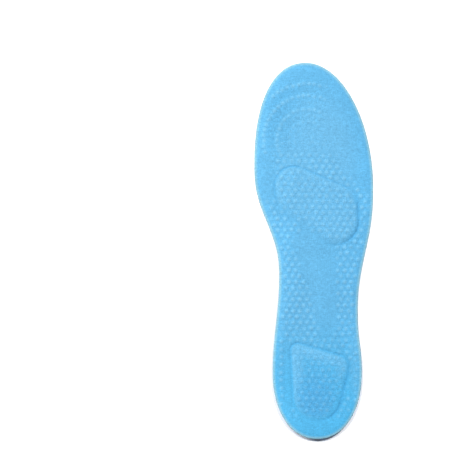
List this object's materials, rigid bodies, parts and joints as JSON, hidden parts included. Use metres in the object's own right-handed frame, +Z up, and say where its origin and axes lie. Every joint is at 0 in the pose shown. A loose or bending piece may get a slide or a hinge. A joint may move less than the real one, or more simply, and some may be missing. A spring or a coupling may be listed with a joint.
{
  "type": "cushioned insole",
  "caption": "Full-length cushioned shoe insole for a right foot: brushed cloth over a gel base with soft pads set in at the ball and the heel, and a shallow heel cup.",
  "frame": {"origin": "on the surface it lies on, under the middle of its length and of its width", "axes": "+Y to the toe, +Z up to the foot, -X to the arch (inner) side, +X to the outer side"},
  "size_m": [0.088, 0.279, 0.0085],
  "materials": {
    "cloth": "matte brushed light blue knit",
    "bond_film": "milky hot-melt film",
    "gel": "glossy translucent royal blue gel",
    "soft_gel": "glossy translucent lighter blue gel"
  },
  "bodies": {
    "root": {"top_cloth": "cloth", "adhesive_film": "bond_film", "gel_base": "gel", "ball_pad": "soft_gel", "heel_pad": "soft_gel"}
  },
  "joints": []
}
